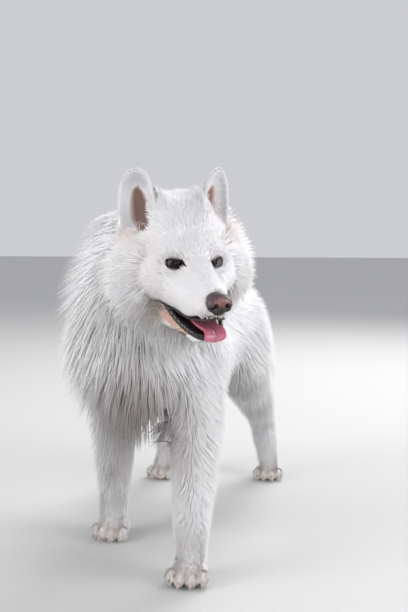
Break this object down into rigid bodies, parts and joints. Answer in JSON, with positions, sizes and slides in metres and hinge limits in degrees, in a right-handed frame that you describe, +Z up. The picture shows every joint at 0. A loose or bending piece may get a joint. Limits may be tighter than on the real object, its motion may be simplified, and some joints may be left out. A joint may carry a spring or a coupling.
{
  "type": "samoyed dog model",
  "caption": "Life-size still model of a standing white Samoyed, head turned to its left with the mouth open, curled tail over the back, thin dark collar in the coat.",
  "frame": {"origin": "on the floor, under the middle of the outline", "axes": "+Z up, -Y the way the dog faces, +X to the dog's own left"},
  "size_m": [0.4256, 0.9784, 0.7385],
  "materials": {
    "coat": "long, soft, matt white fur",
    "ear": "short white fur, pinkish-brown skin inside",
    "eye": "wet, very dark brown",
    "nose": "moist pebbled leather, brownish pink on top and black round the nostrils",
    "tongue": "wet pink",
    "claw": "smooth pale horn",
    "collar": "plain dark webbing"
  },
  "bodies": {
    "root": {"trunk": "coat", "neck": "coat", "head": "coat", "jaw": "coat", "foreleg_left": "coat", "foreleg_right": "coat", "hind_leg_left": "coat", "hind_leg_right": "coat", "tail": "coat", "ear_left": "ear", "ear_right": "ear", "eye_left": "eye", "eye_right": "eye", "nose": "nose", "tongue": "tongue", "collar": "collar", "claw_fore_left_1": "claw", "claw_fore_left_2": "claw", "claw_fore_left_3": "claw", "claw_fore_left_4": "claw", "claw_fore_right_1": "claw", "claw_fore_right_2": "claw", "claw_fore_right_3": "claw", "claw_fore_right_4": "claw", "claw_hind_left_1": "claw", "claw_hind_left_2": "claw", "claw_hind_left_3": "claw", "claw_hind_left_4": "claw", "claw_hind_right_1": "claw", "claw_hind_right_2": "claw", "claw_hind_right_3": "claw", "claw_hind_right_4": "claw"}
  },
  "joints": []
}
